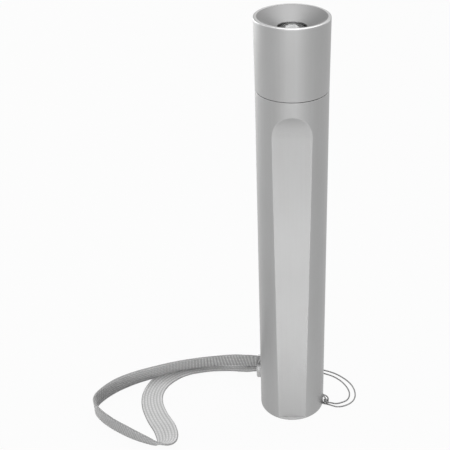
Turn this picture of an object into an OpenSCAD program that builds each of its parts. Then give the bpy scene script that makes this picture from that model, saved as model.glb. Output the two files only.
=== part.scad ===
// Slim aluminium flashlight with a push-pull focusing head, a screw-in tail plug
// with a push button, three C cells, and a webbing wrist strap on a thin cord.
// Millimetres. The flashlight stands on its tail rim at z = 0, with its axis on Z.
// The ground flat on the barrel faces -Y and the lanyard eye is on the +X side.

/* [Barrel] */
// Wall of the barrel round the cells
barrel_wall = 4.25; // [4.05:0.05:5]
// Depth of the open skirt under the tail plug
skirt_h = 9; // [8.6:0.2:14]
// Wall of the skirt
skirt_wall = 2.9; // [2.2:0.1:3.2]
// Chamfer on the outer edges of the barrel
edge_chamfer = 0.3; // [0.2:0.1:0.8]

/* [Ground flat] */
// Depth of the flat at its upper end
flat_depth_top = 2.8; // [2.2:0.1:3.1]
// Depth of the flat at the tail
flat_depth_tail = 1.55; // [0.8:0.05:1.8]
// Distance from the top of the barrel to where the flat starts to run out
flat_start = 19.5; // [18:0.5:40]
// Radius of the cutter that leaves the curved run-out
flat_runout_r = 27; // [20:1:40]

/* [Battery] */
// Number of cells in line
cell_count = 3; // [2:1:4]
// Diameter of one cell
cell_d = 26; // [25:0.1:26.2]
// Length of one cell, with its nub
cell_h = 50; // [46:0.5:54]
// Radial room round the cells
cell_room = 0.25; // [0.15:0.05:0.3]
// Wire of the contact springs
spring_wire = 0.9; // [0.6:0.1:1.1]
// Length of the tail spring when the plug is home
tail_spring_h = 4.3; // [4:0.1:6]

/* [Tail plug] */
// Length of the tail plug
plug_h = 12; // [11.6:0.2:16]
// Step from the cell bore out to the bore that the plug screws into
plug_step = 0.15; // [0.15:0.05:0.3]
// Diameter of the push button
button_d = 10; // [8:0.5:12]
// How far the button stands out of the plug
button_out = 2.5; // [1.5:0.1:2.9]
// Travel of the button
button_travel = 1.6; // [1:0.1:1.7]

/* [Neck] */
// Wall of the barrel round the neck that the head slides on
spigot_wall = 3.1; // [3:0.05:3.2]
// Depth of the neck's spigot in the barrel
spigot_h = 7; // [6:0.5:10]
// Height of the neck's top flange
neck_flange_h = 3; // [2.6:0.1:4]
// Wall of the neck round the lamp
neck_wall = 1.5; // [1.4:0.05:1.9]
// Travel of the focusing head
focus_travel = 8; // [5:0.5:8.5]

/* [Head] */
// Length of the head
head_h = 34.9; // [34.4:0.1:40]
// How far the head flares out from its foot to its rim
head_flare = 0.3; // [0:0.05:1.5]
// Step from the neck out to the bore of the head
head_step = 0.75; // [0.6:0.05:0.95]
// Height of the lip inside the head's lower edge
lip_h = 3; // [2.5:0.1:4]
// Width of the rim round the funnel
rim_w = 2; // [1.8:0.1:3]
// Depth of the funnel
funnel_depth = 5.1; // [4.5:0.1:6]
// Diameter of the light aperture
aperture_d = 13.7; // [12:0.1:15]
// Wall over the lens at the aperture
aperture_wall = 0.9; // [0.6:0.1:1.4]

/* [Lamp] */
// Diameter of the collimator lens
lens_d = 22; // [20:0.5:23]
// Thickness of the lens flange
lens_flange_h = 2; // [1.6:0.1:2.4]
// Length of the collimator cone under the flange
lens_cone_h = 6.5; // [5:0.5:7]
// Thickness of the lens gasket
gasket_h = 0.6; // [0.4:0.1:1]
// Height of the lens retaining ring
retainer_h = 3; // [2:0.5:3.5]
// Diameter of the star board under the LED
star_d = 20; // [18:0.5:21]
// Side of the square LED package
led_side = 3.5; // [3:0.1:5]

/* [Wrist strap] */
// Width of the webbing
strap_w = 12; // [10:0.5:12.5]
// Thickness of the webbing
strap_t = 1.3; // [1:0.1:1.4]
// Width of the strap's end block
clip_w = 13.4; // [13.2:0.1:14]
// Height of the strap's end block
clip_h = 7.8; // [7.6:0.1:9]
// Diameter of the lanyard cord
cord_d = 0.8; // [0.6:0.05:0.85]
// Diameter of the lanyard hole in the skirt
eye_d = 2.6; // [2.4:0.1:2.8]

/* [Hidden] */
$fn = 96;
eps = 0.01;           // cutters pass this far through a face
thread_gap = 0.1;     // radial gap of a screwed or sliding pair
ring_gap = 0.05;      // radial gap between an O-ring and its bore or groove
board_t = 1.6;        // thickness of every circuit board

// Stations out from the axis: every bore and wall follows the cell
cell_bore_r = cell_d / 2 + cell_room;
barrel_r = cell_bore_r + barrel_wall;
barrel_d = 2 * barrel_r;
plug_bore_r = cell_bore_r + plug_step;
plug_r = plug_bore_r - thread_gap;
neck_r = barrel_r - spigot_wall;
lamp_bore_r = neck_r - neck_wall;
head_bore_r = neck_r + head_step;
neck_flange_r = head_bore_r - thread_gap;
head_rim_r = barrel_r + head_flare;
funnel_r = head_rim_r - rim_w;
skirt_bore_r = barrel_r - skirt_wall;
seat_bore_r = lens_d / 2 + 1;

// Stations up the axis, from the tail rim
plug_z = skirt_h;
plug_top_z = plug_z + plug_h;
ring_h = 0.8;                                    // height of the ring on top of the plug
switch_board_z = plug_top_z - ring_h - board_t;
cells_z = switch_board_z + board_t + tail_spring_h;
cells_top_z = cells_z + cell_count * cell_h;
front_room = 8;                                  // from the cells to the neck's foot
neck_z = cells_top_z + front_room;
barrel_h = neck_z + spigot_h;
neck_flange_z = barrel_h + lip_h + focus_travel;
neck_top_z = neck_flange_z + neck_flange_h;
seam = 0.25;                                     // shadow gap between head and barrel
tail_lip = 0.7;                                  // round lip that the flat leaves at the tail
head_top_z = barrel_h + head_h;
funnel_foot_z = head_top_z - funnel_depth;
lens_seat_z = funnel_foot_z - aperture_wall;
lens_top_z = lens_seat_z - gasket_h;
lens_foot_z = lens_top_z - lens_flange_h - lens_cone_h;
retainer_z = lens_top_z - lens_flange_h - retainer_h;
lamp_lip_h = 1.6;                                // lip over the heat sink
sink_top_z = neck_top_z - lamp_lip_h;
lamp_ring_h = 1.5;                               // height of the ring under the driver
driver_z = neck_z + lamp_ring_h;
sink_wall = 1.45;                                // wall of the heat sink's skirt
sink_floor_h = 9;                                // solid top part of the heat sink

// A point in the frame of the lanyard eye: out from the wall's face, along it, and up
eye_angle = -12;
eye_z = 6;
notch_h = 2;
function at_eye(out, along, up) = [
    (barrel_r + out) * cos(eye_angle) - along * sin(eye_angle),
    (barrel_r + out) * sin(eye_angle) + along * cos(eye_angle), up];

// Routes of the cord, chosen by hand: from the clip, hitched to the eye, and back
cord_lie = 0.45;                                 // height of the cord's middle on the floor
cord_out = [[0, 26.5, 2], [1.6, 26.5, 2], [5, 26.9, 1.2], [9, 27.2, cord_lie],
    [14, 26.6, cord_lie], [18.5, 25, cord_lie], [24.5, 22.2, cord_lie], [29, 18.6, cord_lie],
    [32.6, 14.4, cord_lie], [35, 9.6, cord_lie], [35.9, 4.4, cord_lie],
    [35.2, -0.4, cord_lie], [32.8, -4, cord_lie], [29, -6.4, cord_lie], [25, -7, cord_lie]];
cord_back = [[24.6, -4.4, cord_lie], [27.6, -3.6, cord_lie], [30.6, -1.8, cord_lie],
    [32.3, 1.2, cord_lie], [32.6, 5.4, cord_lie], [31.2, 10.2, cord_lie],
    [28, 15.4, cord_lie], [23.6, 19.4, cord_lie], [18.2, 22.1, cord_lie],
    [13, 23.6, cord_lie], [8.4, 24.1, cord_lie], [5, 24, 1.2], [1.6, 23.5, 2], [0, 23.5, 2]];
hitch_half = [[4.1, -0.9, cord_lie], [2.3, -0.6, cord_lie], [0.1, -0.5, 0.5],
    [-1.9, -0.5, 0.7], [-3.2, -0.5, 1.5], [-3.45, -0.5, 2.8], [-3.45, -0.5, 4.2],
    [-3.1, -0.5, 5.5], [-1.9, -0.5, 6], [-0.3, -0.5, 6], [1, -0.7, 5.6], [2, -1.2, 4.6],
    [2.6, -1.7, 3.4], [2.9, -1.6, 2.2], [3, -0.8, 1.6]];
hitch_bight = [3.05, 0, 1.45];

// Stations of the webbing, chosen by hand: its upper or near edge, and its other edge
strap_route = [
    [[-6, 18.9, 6.6], [-6, 30.9, 6.6]], [[-9.5, 18.9, 6.7], [-9.5, 30.8, 6.5]],
    [[-13, 18.8, 9.4], [-13, 29.8, 6]], [[-17, 18, 12.4], [-17, 27.6, 5.8]],
    [[-20.8, 17.7, 14.1], [-20.8, 25.8, 5.8]], [[-27, 18.8, 14.2], [-27, 26.4, 5.1]],
    [[-34, 20.6, 13.6], [-34, 27.4, 3.9]], [[-44, 21.8, 12.8], [-44.4, 27.4, 2.5]],
    [[-56, 20.8, 12.3], [-57, 25.4, 2.1]],
    [[-68, 17.8, 12.1], [-69.4, 22, 1.9]], [[-80, 14, 11.6], [-81.4, 17.2, 0.8]],
    [[-90.5, 9.2, 11.7], [-91.6, 12, 0.5]], [[-100, 2.6, 11.8], [-101.4, 4.4, 0.5]],
    [[-107, -6.2, 11.8], [-108.3, -4.8, 0.5]], [[-108.8, -13.6, 11.8], [-109, -11.8, 0.5]],
    [[-104.8, -21, 11.7], [-104.6, -18.6, 0.5]], [[-96, -29.2, 11.5], [-97, -25.4, 0.7]],
    [[-86, -36, 11.2], [-87.6, -31.6, 0.8]], [[-76.5, -41.6, 10.4], [-78.8, -35.6, 0.9]],
    [[-68.4, -44.8, 8.6], [-73.6, -36.8, 0.9]], [[-62.8, -43, 6.4], [-71.6, -35.6, 0.9]],
    [[-61.2, -36.6, 4.6], [-72, -32, 0.9]], [[-63.6, -27.4, 3], [-75, -24.6, 0.9]],
    [[-68.8, -17, 1.9], [-80, -15.6, 0.9]], [[-72.6, -6, 1.2], [-84.2, -5.2, 0.9]],
    [[-73, 4.4, 1], [-84.8, 5.2, 0.9]], [[-69.2, 13, 1], [-80, 17.6, 0.9]],
    [[-61, 19.6, 1], [-67.6, 29.6, 0.9]], [[-49, 23, 1], [-50.6, 34.8, 0.9]],
    [[-36, 23.2, 1.4], [-36, 35.2, 1.4]], [[-27, 20.8, 3], [-27, 32.8, 3]],
    [[-20.8, 18.9, 4.8], [-20.8, 30.9, 4.8]], [[-14, 18.9, 4.9], [-14, 30.9, 4.9]],
    [[-6, 18.9, 4.9], [-6, 30.9, 4.9]]];
clip_x = [-20.6, 0];                             // ends of the strap's end block
clip_y = 24.9;                                   // its middle
strap_play = 0.08;                               // room round the webbing inside the block

silver = [0.72, 0.72, 0.72];

// A solid of revolution from [radius, height] points
module turned(points) { rotate_extrude() polygon(points); }

// A flat ring between two radii
module ring(r_in, r_out, h, z) {
    translate([0, 0, z]) difference() {
        cylinder(r = r_out, h = h);
        translate([0, 0, -eps]) cylinder(r = r_in, h = h + 2 * eps);
    }
}

// An O-ring that just clears the floor of its groove and its bore
module o_ring(r_in, r_out, z) {
    section = (r_out - r_in) / 2 - ring_gap;
    translate([0, 0, z]) rotate_extrude()
        translate([(r_in + r_out) / 2, 0]) circle(r = section, $fn = 24);
}

function unit(v) = v / norm(v);

// One point of a smooth curve through four points, between the middle two
function curve_point(a, b, c, d, u) = 0.5 * (2 * b + (c - a) * u
    + (2 * a - 5 * b + 4 * c - d) * u * u + (3 * b - a - 3 * c + d) * u * u * u);

// A smooth curve through a list of points, with steps between each pair
function smooth(p, steps) = let (last = len(p) - 1) concat([for (i = [0:last - 1], s = [0:steps - 1])
    curve_point(p[max(i - 1, 0)], p[i], p[i + 1], p[min(i + 2, last)], s / steps)], [p[last]]);

function tangents(p) = [for (i = [0:len(p) - 1])
    unit(p[min(i + 1, len(p) - 1)] - p[max(i - 1, 0)])];

// Carries a normal along a curve without letting it twist
function carried(t, n) = len(n) == len(t) ? n
    : let (m = n[len(n) - 1], d = t[len(n)]) carried(t, concat(n, [unit(m - (m * d) * d)]));

// A closed skin over a row of rings that all have the same number of points
module skin(rings) {
    sides = len(rings[0]);
    last = len(rings) - 1;
    polyhedron(
        points = [for (r = rings, p = r) p],
        faces = concat(
            [[for (k = [0:sides - 1]) k]],
            [for (i = [0:last - 1], k = [0:sides - 1]) let (a = i * sides + k,
                b = i * sides + (k + 1) % sides) [a, a + sides, b]],
            [for (i = [0:last - 1], k = [0:sides - 1]) let (a = i * sides + k,
                b = i * sides + (k + 1) % sides) [b, a + sides, b + sides]],
            [[for (k = [sides - 1:-1:0]) last * sides + k]]));
}

// A round tube along a list of points
module tube(p, r, sides, start) {
    t = tangents(p);
    n = carried(t, [unit(start - (start * t[0]) * t[0])]);
    skin([for (i = [0:len(p) - 1]) [for (k = [0:sides - 1]) p[i]
        + r * (cos(360 * k / sides) * n[i] + sin(360 * k / sides) * cross(t[i], n[i]))]]);
}

// A conical coil of round wire, ground flat at both ends by its dead turns
module coil(r_foot, r_top, h, turns, wire, z) {
    steps = 12;
    rise = h - wire - 2 * ring_gap;
    tube([for (i = [0:turns * steps]) let (u = i / (turns * steps), a = 360 * i / steps,
        r = r_foot + (r_top - r_foot) * u) [r * cos(a), r * sin(a),
        z + ring_gap + wire / 2 + rise * u]], wire / 2, 6, [0, 0, 1]);
}

// The cutter that grinds the flat: a sloping face and a round run-out at its top
module flat_cutter() {
    top_z = barrel_h - flat_start;
    slope = atan((flat_depth_top - flat_depth_tail) / top_z);
    reach = 2 * flat_runout_r;
    translate([0, flat_depth_top - barrel_r, top_z]) rotate([-slope, 0, 0]) {
        translate([-barrel_r, -reach, tail_lip - top_z]) cube([barrel_d, reach, top_z - tail_lip]);
        translate([-barrel_r, -flat_runout_r, 0]) rotate([0, 90, 0])
            cylinder(r = flat_runout_r, h = barrel_d, $fn = 180);
    }
}

module barrel_tube() {
    color(silver) difference() {
        turned([[0, 0], [barrel_r - edge_chamfer, 0], [barrel_r, edge_chamfer],
            [barrel_r, barrel_h - seam], [0, barrel_h - seam]]);
        translate([0, 0, -eps]) cylinder(r = skirt_bore_r, h = skirt_h + eps);
        cylinder(r = plug_bore_r, h = plug_top_z);
        cylinder(r = cell_bore_r, h = barrel_h);
        translate([0, 0, neck_z]) cylinder(r = neck_r + thread_gap / 2, h = barrel_h);
        flat_cutter();
        rotate([0, 0, eye_angle]) {
            translate([0, 0, eye_z]) rotate([0, 90, 0]) cylinder(d = eye_d, h = barrel_d, $fn = 32);
            translate([0, -eye_d / 2, -eps]) cube([barrel_d, eye_d, notch_h + eps]);
        }
    }
}

module tail_plug() {
    groove_r = plug_r - 0.9;
    floor_h = 3;
    board_bore_r = plug_r - 2.8;
    switch_bore_r = plug_r - 4.2;
    spanner_hole_r = 0.9;
    color(silver) difference() {
        turned([[0, plug_z], [plug_r - edge_chamfer, plug_z], [plug_r, plug_z + edge_chamfer],
            [plug_r, plug_z + 1.2], [groove_r, plug_z + 1.2], [groove_r, plug_z + 2.8],
            [plug_r, plug_z + 2.8], [plug_r, plug_top_z], [0, plug_top_z]]);
        translate([0, 0, plug_z + floor_h]) cylinder(r = switch_bore_r, h = plug_h);
        translate([0, 0, switch_board_z]) cylinder(r = board_bore_r, h = plug_h);
        translate([0, 0, plug_z - eps]) cylinder(d = button_d + 2 * thread_gap, h = plug_h);
        for (a = [90, 270]) rotate([0, 0, a])
            translate([(button_d / 2 + plug_r) / 2, 0, plug_z - eps])
                cylinder(r = spanner_hole_r, h = 1.5, $fn = 24);
    }
}

module plug_oring() { color([0.1, 0.1, 0.1]) o_ring(plug_r - 0.9, plug_bore_r, plug_z + 2); }

// Ring that screws into the plug and holds the switch board
module plug_retaining_ring() {
    color(silver) ring(plug_r - 4.6, plug_r - 2.9, ring_h, plug_top_z - ring_h);
}

button_flange_z = plug_z + 3;                    // inner face of the plug's floor
button_flange_h = 1;

module switch_button() {
    r = button_d / 2;
    dish = 0.5;
    foot_z = plug_z - button_out;
    groove_r = r - 0.75;
    color([0.62, 0.62, 0.62]) turned([[0, foot_z + dish], [r - 1.6, foot_z], [r - 0.5, foot_z],
        [r, foot_z + 0.5], [r, plug_z + 0.7], [groove_r, plug_z + 0.7], [groove_r, plug_z + 2],
        [r, plug_z + 2], [r, button_flange_z], [r + 1.1, button_flange_z],
        [r + 1.1, button_flange_z + button_flange_h], [0, button_flange_z + button_flange_h]]);
}

module button_oring() {
    color([0.1, 0.1, 0.1]) o_ring(button_d / 2 - 0.75, button_d / 2 + thread_gap, plug_z + 1.35);
}

plunger_r = 1.8;
switch_housing_z = button_flange_z + button_flange_h + button_travel + 0.2;

module switch_plunger() {
    color([0.85, 0.85, 0.85]) translate([0, 0, button_flange_z + button_flange_h])
        cylinder(r = plunger_r, h = switch_housing_z - button_flange_z, $fn = 32);
}

module switch_housing() {
    side = 12;
    housing_h = switch_board_z - switch_housing_z;
    color([0.15, 0.15, 0.17]) difference() {
        translate([-side / 2, -side / 2, switch_housing_z]) cube([side, side, housing_h]);
        translate([0, 0, switch_housing_z - eps])
            cylinder(r = plunger_r + thread_gap, h = 1 + button_travel + 0.4, $fn = 32);
    }
}

module switch_board() {
    color([0.12, 0.35, 0.2]) translate([0, 0, switch_board_z])
        cylinder(r = plug_r - 2.9, h = board_t);
}

module tail_spring() {
    color([0.85, 0.75, 0.5])
        coil(7, 4, tail_spring_h, 3, spring_wire, switch_board_z + board_t);
}

// One cell: a crimped can, its nub, and the step of the negative cap
module cell(z) {
    r = cell_d / 2;
    nub_h = 1.8;
    can_top = cell_h - nub_h;
    turned([[0, z], [r - 3, z], [r - 2.6, z + 0.4], [r - 1, z + 0.4], [r, z + 1.4],
        [r, z + can_top - 0.8], [r - 0.8, z + can_top], [r - 3.2, z + can_top],
        [r - 3.6, z + can_top - 0.4], [3.6, z + can_top - 0.4], [3.3, z + cell_h - 0.3],
        [3, z + cell_h], [0, z + cell_h]]);
}

module cell_rear() { color([0.35, 0.36, 0.4]) cell(cells_z); }

// The cells between the first and the last
module cell_middle() {
    color([0.35, 0.36, 0.4]) for (i = [1:max(1, cell_count - 2)])
        if (i < cell_count - 1) cell(cells_z + i * cell_h);
}

module cell_front() { color([0.35, 0.36, 0.4]) cell(cells_z + (cell_count - 1) * cell_h); }

module front_spring() {
    color([0.85, 0.75, 0.5]) mirror([0, 0, 1])
        coil(6, 2.6, driver_z - cells_top_z, 5, spring_wire, -driver_z);
}

module lamp_retaining_ring() {
    color([0.78, 0.62, 0.3]) ring(lamp_bore_r - 2.4, lamp_bore_r - thread_gap / 2, lamp_ring_h, neck_z);
}

module driver_board() {
    color([0.12, 0.35, 0.2]) translate([0, 0, driver_z])
        cylinder(r = lamp_bore_r - thread_gap / 2, h = board_t);
}

// Choke, controller and capacitor on the driver board
module driver_parts() {
    top = driver_z + board_t;
    color([0.2, 0.2, 0.22]) {
        translate([-7, -3, top]) cube([6, 6, 2.8]);
        translate([1.5, -2.5, top]) cube([5, 5, 1.4]);
        translate([3, 5.2, top]) cylinder(r = 1.5, h = 3, $fn = 24);
    }
}

module heat_sink() {
    r = lamp_bore_r - thread_gap / 2;
    foot = driver_z + board_t;
    color([0.82, 0.68, 0.38]) difference() {
        translate([0, 0, foot]) cylinder(r = r, h = sink_top_z - foot);
        translate([0, 0, foot - eps])
            cylinder(r = r - sink_wall, h = sink_top_z - sink_floor_h - foot + eps);
        for (a = [45, 225]) rotate([0, 0, a]) translate([star_d / 2 - 2.2, 0, sink_top_z - 4])
            cylinder(r = 1.1, h = 4 + eps, $fn = 24);
    }
}

module star_board() {
    color([0.9, 0.9, 0.88]) difference() {
        translate([0, 0, sink_top_z]) cylinder(d = star_d, h = board_t);
        for (a = [45, 225]) rotate([0, 0, a])
            translate([star_d / 2 - 2.2, 0, sink_top_z - eps])
                cylinder(r = 1.2, h = board_t + 2 * eps, $fn = 24);
    }
}

// Two pan-head screws that hold the star board down
module star_screws() {
    color([0.6, 0.6, 0.6]) for (a = [45, 225]) rotate([0, 0, a])
        translate([star_d / 2 - 2.2, 0, 0]) {
            translate([0, 0, sink_top_z - 3.5]) cylinder(r = 1.05, h = 3.5 + board_t, $fn = 24);
            translate([0, 0, sink_top_z + board_t]) cylinder(r = 1.9, h = 1, $fn = 24);
        }
}

led_h = 0.7;

module led_package() {
    color([0.93, 0.9, 0.6]) translate([-led_side / 2, -led_side / 2, sink_top_z + board_t])
        cube([led_side, led_side, led_h]);
}

module led_dome() {
    r = led_side * 0.43;
    color([0.95, 0.95, 0.8]) translate([0, 0, sink_top_z + board_t + led_h]) intersection() {
        sphere(r = r, $fn = 32);
        translate([-r, -r, 0]) cube([2 * r, 2 * r, r]);
    }
}

module lamp_neck() {
    groove_r = neck_flange_r - 1;
    groove_z = neck_flange_z + neck_flange_h / 2 - 0.8;
    color([0.5, 0.5, 0.5]) difference() {
        turned([[0, neck_z], [neck_r, neck_z], [neck_r, neck_flange_z],
            [neck_flange_r, neck_flange_z], [neck_flange_r, groove_z], [groove_r, groove_z],
            [groove_r, groove_z + 1.6], [neck_flange_r, groove_z + 1.6],
            [neck_flange_r, neck_top_z], [0, neck_top_z]]);
        translate([0, 0, neck_z - eps]) cylinder(r = lamp_bore_r, h = sink_top_z - neck_z + eps);
        translate([0, 0, neck_z]) cylinder(d = star_d + 1, h = neck_top_z);
    }
}

module neck_oring() {
    color([0.1, 0.1, 0.1]) o_ring(neck_flange_r - 1, head_bore_r, neck_flange_z + neck_flange_h / 2);
}

// Tapered sleeve with the shallow funnel, the lens seat and the lip that stops it
module head_shell() {
    edge = 0.35;
    color(silver) turned([
        [neck_r + thread_gap, barrel_h], [barrel_r - edge, barrel_h], [barrel_r, barrel_h + edge],
        [head_rim_r, head_top_z - 2 * edge], [head_rim_r - 2 * edge, head_top_z],
        [funnel_r + edge, head_top_z], [funnel_r, head_top_z - edge],
        [aperture_d / 2, funnel_foot_z], [aperture_d / 2, lens_seat_z],
        [seat_bore_r, lens_seat_z], [seat_bore_r, retainer_z - 1], [head_bore_r, retainer_z - 2.2],
        [head_bore_r, barrel_h + lip_h], [neck_r + thread_gap, barrel_h + lip_h]]);
}

// Collimator: a crowned face in the aperture, a flange, and a cone with a pocket for the LED
module lens() {
    crown_r = aperture_d / 2 - 0.35;
    crown_top = funnel_foot_z + 0.9;
    sag = crown_top - lens_top_z - gasket_h;
    crown_round = (crown_r * crown_r + sag * sag) / (2 * sag);
    half = asin(crown_r / crown_round);
    pocket_r = 2.6;
    pocket_h = 3;
    color([0.85, 0.92, 0.95, 0.5]) turned(concat(
        [[0, lens_foot_z + pocket_h], [pocket_r, lens_foot_z + pocket_h],
            [pocket_r + 0.2, lens_foot_z], [pocket_r + 1.2, lens_foot_z],
            [lens_d / 2 - 2.2, lens_top_z - lens_flange_h], [lens_d / 2, lens_top_z - lens_flange_h],
            [lens_d / 2, lens_top_z], [crown_r, lens_top_z]],
        [for (i = [0:12]) let (a = half * (1 - i / 12))
            [crown_round * sin(a), crown_top - crown_round * (1 - cos(a))]]));
}

module lens_gasket() {
    color([0.1, 0.1, 0.1]) ring(aperture_d / 2 + 0.2, lens_d / 2, gasket_h, lens_top_z);
}

module lens_retaining_ring() {
    color([0.5, 0.5, 0.5]) ring(lens_d / 2 - 1.8, seat_bore_r - thread_gap / 2, retainer_h, retainer_z);
}

// Moulded block: both ends of the webbing lie inside it, and the cord goes in at its other end
module strap_clip() {
    corner = 1.6;
    length = clip_x[1] - clip_x[0];
    color([0.7, 0.7, 0.7]) difference() {
        intersection() {
            translate([clip_x[0], clip_y, 0]) linear_extrude(clip_h)
                translate([length / 2, 0]) rounded(length, clip_w, corner);
            translate([clip_x[0], clip_y, clip_h / 2]) rotate([0, 90, 0]) linear_extrude(length)
                rounded(clip_h, clip_w, 1);
        }
        band(strap_play);
    }
}

// A rectangle about the origin with round corners
module rounded(x, y, r) {
    hull() for (i = [-1, 1], j = [-1, 1])
        translate([i * (x / 2 - r), j * (y / 2 - r)]) circle(r = r, $fn = 24);
}

// A thin band with softened edges, carried on the webbing's two edge lines, and its play
module band(play) {
    middle = smooth([for (s = strap_route) (s[0] + s[1]) / 2], 2);
    across = smooth([for (s = strap_route) unit(s[0] - s[1])], 2);
    t = tangents(middle);
    soft = strap_t * 0.3;
    half_w = strap_w / 2 + play;
    half_t = strap_t / 2 + play;
    outline = [[half_w, soft - half_t], [half_w, half_t - soft], [half_w - soft, half_t],
        [soft - half_w, half_t], [-half_w, half_t - soft], [-half_w, soft - half_t],
        [soft - half_w, -half_t], [half_w - soft, -half_t]];
    skin([for (i = [0:len(middle) - 1])
        let (w = unit(across[i] - (across[i] * t[i]) * t[i]), n = cross(t[i], w))
        [for (o = outline) middle[i] + o[0] * w + o[1] * n]]);
}

module strap_webbing() { color([0.75, 0.75, 0.75]) band(0); }

module lanyard_cord() {
    back_half = [for (i = [len(hitch_half) - 1:-1:0])
        at_eye(hitch_half[i][0], -hitch_half[i][1], hitch_half[i][2])];
    first_half = [for (h = hitch_half) at_eye(h[0], h[1], h[2])];
    bight = [at_eye(hitch_bight[0], hitch_bight[1], hitch_bight[2])];
    color([0.6, 0.6, 0.6]) tube(concat(smooth(cord_out, 2), first_half, bight, back_half,
        smooth(cord_back, 2)), cord_d / 2, 8, [0, 0, 1]);
}

barrel_tube();
tail_plug();
plug_oring();
plug_retaining_ring();
switch_button();
button_oring();
switch_plunger();
switch_housing();
switch_board();
tail_spring();
cell_rear();
cell_middle();
cell_front();
front_spring();
lamp_retaining_ring();
driver_board();
driver_parts();
heat_sink();
star_board();
star_screws();
led_package();
led_dome();
lamp_neck();
neck_oring();
head_shell();
lens();
lens_gasket();
lens_retaining_ring();
strap_clip();
strap_webbing();
lanyard_cord();
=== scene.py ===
"""Dressed model of a slim aluminium flashlight with a wrist strap.

The flashlight stands on its tail rim. Its barrel has one long ground flat, its head slides on
a neck to focus the beam, and a flat webbing strap lies round it on a thin lanyard cord. Sizes
are in millimetres and become metres when a mesh is made.
"""

import logging
import math
from dataclasses import dataclass, field
from enum import Enum
from typing import Callable, Optional, Sequence

import bpy
import numpy as np
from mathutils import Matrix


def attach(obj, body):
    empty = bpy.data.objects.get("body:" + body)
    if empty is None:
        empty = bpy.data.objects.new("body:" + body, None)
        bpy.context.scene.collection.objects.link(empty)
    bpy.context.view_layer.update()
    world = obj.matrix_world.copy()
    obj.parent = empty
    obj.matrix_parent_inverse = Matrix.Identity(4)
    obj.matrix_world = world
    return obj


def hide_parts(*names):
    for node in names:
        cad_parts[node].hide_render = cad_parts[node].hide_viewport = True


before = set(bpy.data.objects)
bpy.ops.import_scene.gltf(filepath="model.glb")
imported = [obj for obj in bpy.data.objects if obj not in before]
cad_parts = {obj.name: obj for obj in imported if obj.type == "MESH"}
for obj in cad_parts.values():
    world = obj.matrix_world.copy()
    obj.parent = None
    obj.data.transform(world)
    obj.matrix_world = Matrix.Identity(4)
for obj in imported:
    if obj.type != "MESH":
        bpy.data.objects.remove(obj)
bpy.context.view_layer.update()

Array = np.ndarray
Point = tuple[float, float, float]
Colour = tuple[float, ...]
Material = bpy.types.Material
Node = bpy.types.Node
Object = bpy.types.Object
Socket = bpy.types.NodeSocket
MM = 0.001
TURN = 2 * np.pi
UP = np.array([0.0, 0.0, 1.0])
WHITE = (1.0, 1.0, 1.0, 1.0)
LOG = logging.getLogger("flashlight")


# ---------------------------------------------------------------- surfaces


def unit(vectors: Array) -> Array:
    """Each vector divided by its own length."""
    return vectors / np.maximum(np.linalg.norm(vectors, axis=-1, keepdims=True), 1e-12)


def along(points: Array) -> Array:
    """Distance of each point from the first, measured along the line."""
    return np.concatenate([[0], np.cumsum(np.linalg.norm(np.diff(points, axis=0), axis=1))])


def radii(points: Array) -> Array:
    """Distance of each point from the flashlight's axis."""
    return np.hypot(points[:, 0], points[:, 1])


def nearness(place: Array, edge: float, reach: float) -> Array:
    """One at an edge, falling with the square of the distance to nought at the reach."""
    return np.clip(1 - np.abs(place - edge) / reach, 0, 1) ** 2


def around(places: int) -> Array:
    """Angles spaced evenly round one whole turn."""
    return np.linspace(0, TURN, places, endpoint=False)


def arc(middle: Sequence[float], size: Sequence[float], turn: Array) -> Array:
    """Points of an ellipse: its middle, and its half-sizes by cosine and sine of the turn."""
    return np.array(middle) + np.array(size) * np.stack([np.cos(turn), np.sin(turn)], axis=-1)


@dataclass
class Surface:
    """A mesh as whole arrays.

    Attributes:
        points: vertex places in millimetres, one row each.
        faces: arrays of vertex numbers, four or three to a row.
        marks: named numbers, one for each vertex, that the finishes read.
    """

    points: Array
    faces: list[Array]
    marks: dict[str, Array] = field(default_factory=dict)

    def centres(self) -> Array:
        """The middle of each face, in millimetres."""
        return np.concatenate([self.points[f].mean(axis=1) for f in self.faces])

    def mark(self, **values: Array) -> "Surface":
        """Marks the vertices; the middles of a tube's ends, which come last, get a half.

        Args:
            values: the numbers of each mark, in the order of the points.

        Returns:
            The surface itself.
        """
        for name, value in values.items():
            ends = np.full(len(self.points) - value.size, 0.5)
            self.marks[name] = np.append(value.reshape(-1), ends)
        return self

    def turned(self) -> "Surface":
        """Marks the tool's path, outward and up, and the rubbed outer edge."""
        far = radii(self.points)
        return self.mark(tool=far + self.points[:, 2], edge=nearness(far, far.max(), 0.6))

    def mesh(self, name: str) -> bpy.types.Mesh:
        """The Blender mesh, in metres."""
        mesh = bpy.data.meshes.new(name)
        mesh.from_pydata((self.points * MM).tolist(), [],
                         [row for block in self.faces for row in block.tolist()])
        return mesh


def grid(points: Array, loop_rows: bool = False) -> Surface:
    """Skins rows of points that turn anticlockwise and climb, so that its faces look out.

    Args:
        points: rows by columns by three; the last column joins the first.
        loop_rows: joins the last row to the first.

    Returns:
        The surface, in quads.
    """
    rows, columns = points.shape[:2]
    i = np.arange(rows if loop_rows else rows - 1)[:, None]
    j = np.arange(columns)[None, :]
    up, across = (i + 1) % rows, (j + 1) % columns
    quads = np.stack([i * columns + j, i * columns + across,
                      up * columns + across, up * columns + j], axis=-1).reshape(-1, 4)
    return Surface(points.reshape(-1, 3), [quads])


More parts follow.
